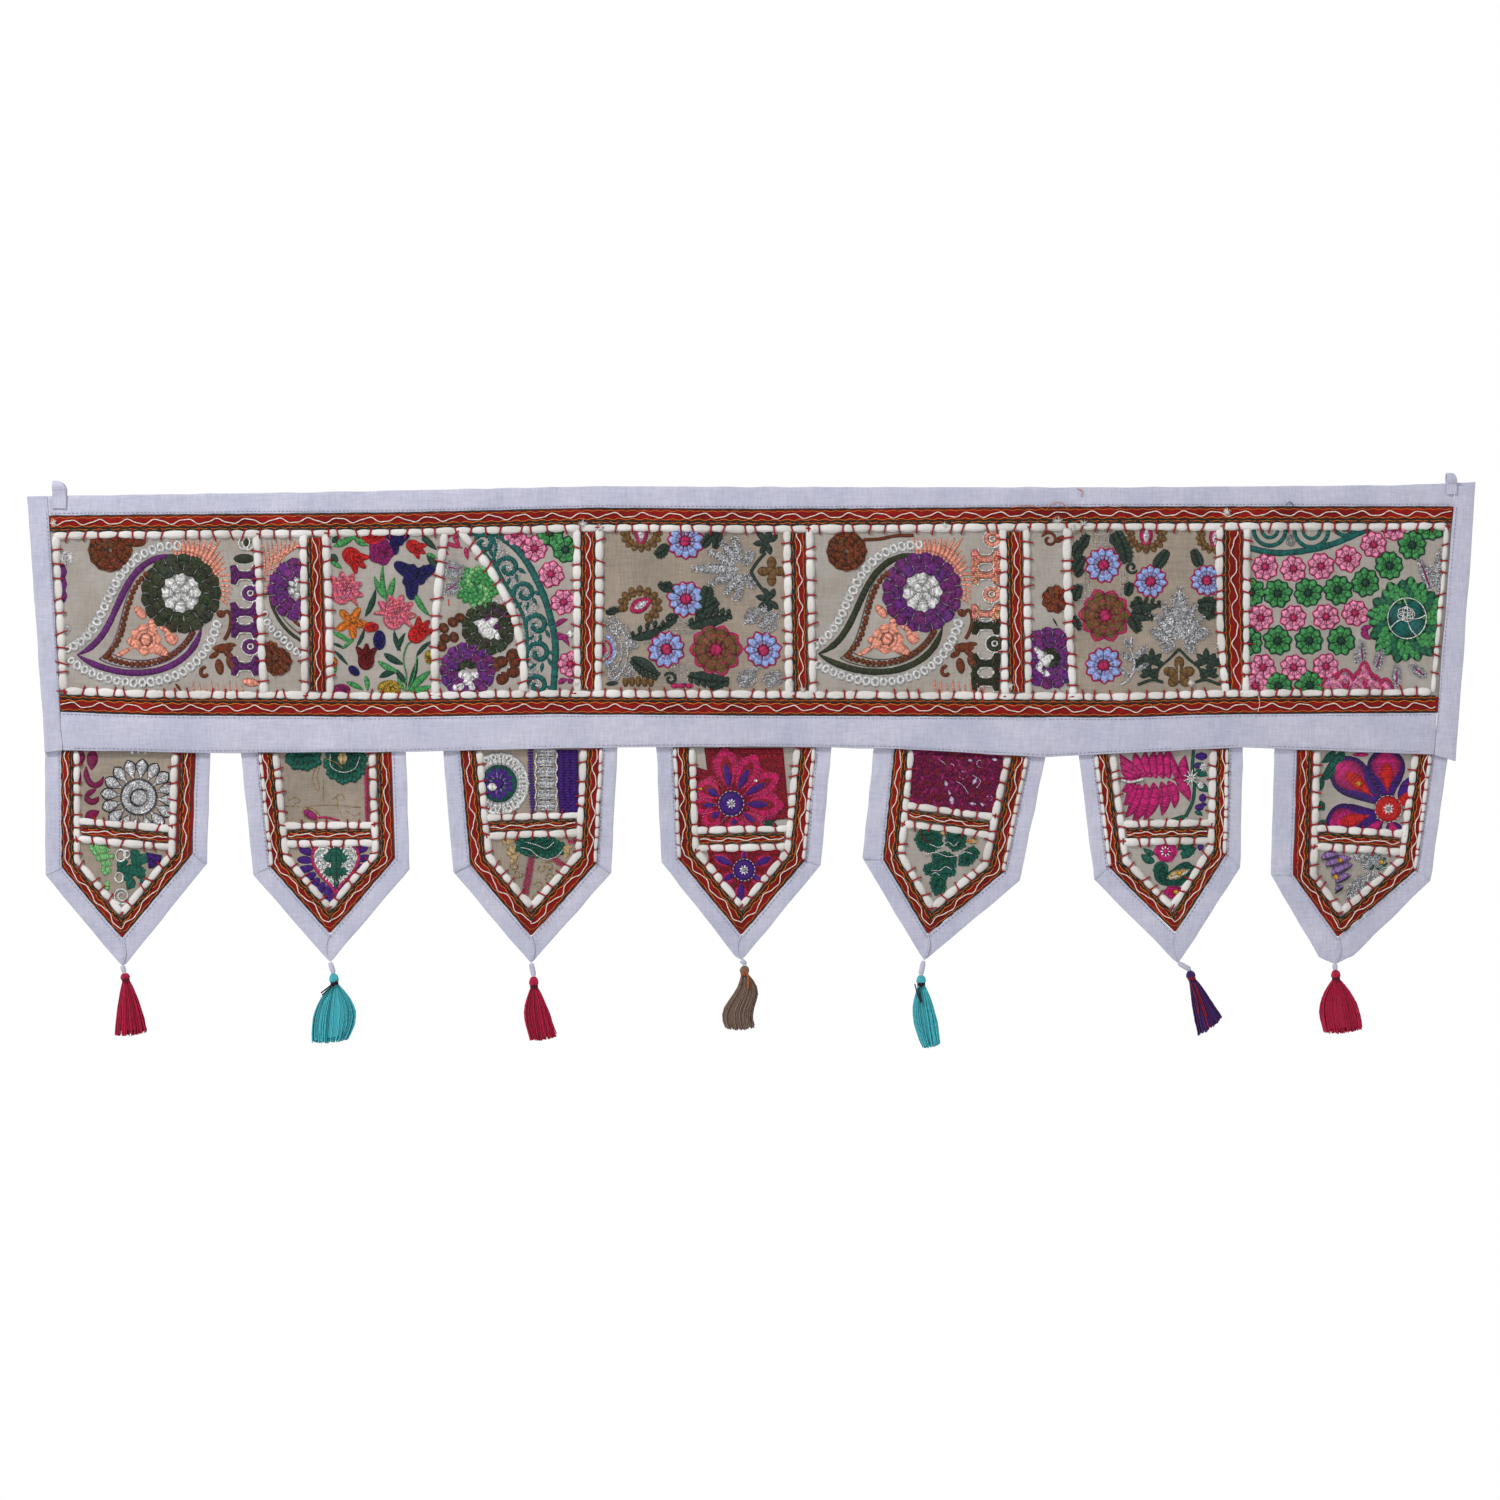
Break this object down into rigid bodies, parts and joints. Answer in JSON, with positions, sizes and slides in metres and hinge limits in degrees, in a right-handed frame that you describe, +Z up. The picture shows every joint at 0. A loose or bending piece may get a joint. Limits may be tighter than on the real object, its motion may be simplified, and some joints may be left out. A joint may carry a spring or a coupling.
{
  "type": "toran door hanging",
  "caption": "Long embroidered patchwork valance with pointed flaps and thread tassels along its lower edge, for hanging across the top of a doorway.",
  "frame": {"origin": "middle of the band's top edge, in the thickness of the top border", "axes": "+X across the doorway, to the right as seen from the front; +Z up; the embroidered front faces -Y"},
  "size_m": [1.0161, 0.017, 0.4028],
  "materials": {
    "cotton": "plain woven cotton, matt",
    "patchwork": "embroidered patchwork with padded white piping, matt",
    "ribbon": "velvet ribbon with couched threads",
    "tassel_pink": "twisted thread, soft sheen",
    "tassel_turquoise": "twisted thread, soft sheen",
    "tassel_taupe": "twisted thread, soft sheen",
    "tassel_purple": "twisted thread, soft sheen"
  },
  "bodies": {
    "root": {"band_panel": "patchwork", "ribbon_top": "ribbon", "ribbon_bottom": "ribbon", "ribbon_upright_1": "ribbon", "ribbon_upright_2": "ribbon", "ribbon_upright_3": "ribbon", "ribbon_upright_4": "ribbon", "ribbon_upright_5": "ribbon", "border_top": "cotton", "border_bottom": "cotton", "border_left": "cotton", "border_right": "cotton", "flap_panel_1": "patchwork", "flap_binding_1": "cotton", "flap_ribbon_1": "ribbon", "flap_cross_ribbon_1": "ribbon", "tassel_cord_1": "cotton", "tassel_1": "tassel_pink", "flap_panel_2": "patchwork", "flap_binding_2": "cotton", "flap_ribbon_2": "ribbon", "flap_cross_ribbon_2": "ribbon", "tassel_cord_2": "cotton", "tassel_2": "tassel_turquoise", "flap_panel_3": "patchwork", "flap_binding_3": "cotton", "flap_ribbon_3": "ribbon", "flap_cross_ribbon_3": "ribbon", "tassel_cord_3": "cotton", "tassel_3": "tassel_pink", "flap_panel_4": "patchwork", "flap_binding_4": "cotton", "flap_ribbon_4": "ribbon", "flap_cross_ribbon_4": "ribbon", "tassel_cord_4": "cotton", "tassel_4": "tassel_taupe", "flap_panel_5": "patchwork", "flap_binding_5": "cotton", "flap_ribbon_5": "ribbon", "flap_cross_ribbon_5": "ribbon", "tassel_cord_5": "cotton", "tassel_5": "tassel_turquoise", "flap_panel_6": "patchwork", "flap_binding_6": "cotton", "flap_ribbon_6": "ribbon", "flap_cross_ribbon_6": "ribbon", "tassel_cord_6": "cotton", "tassel_6": "tassel_purple", "flap_panel_7": "patchwork", "flap_binding_7": "cotton", "flap_ribbon_7": "ribbon", "flap_cross_ribbon_7": "ribbon", "tassel_cord_7": "cotton", "tassel_7": "tassel_pink", "hanging_loop_left": "cotton", "hanging_loop_right": "cotton"}
  },
  "joints": []
}
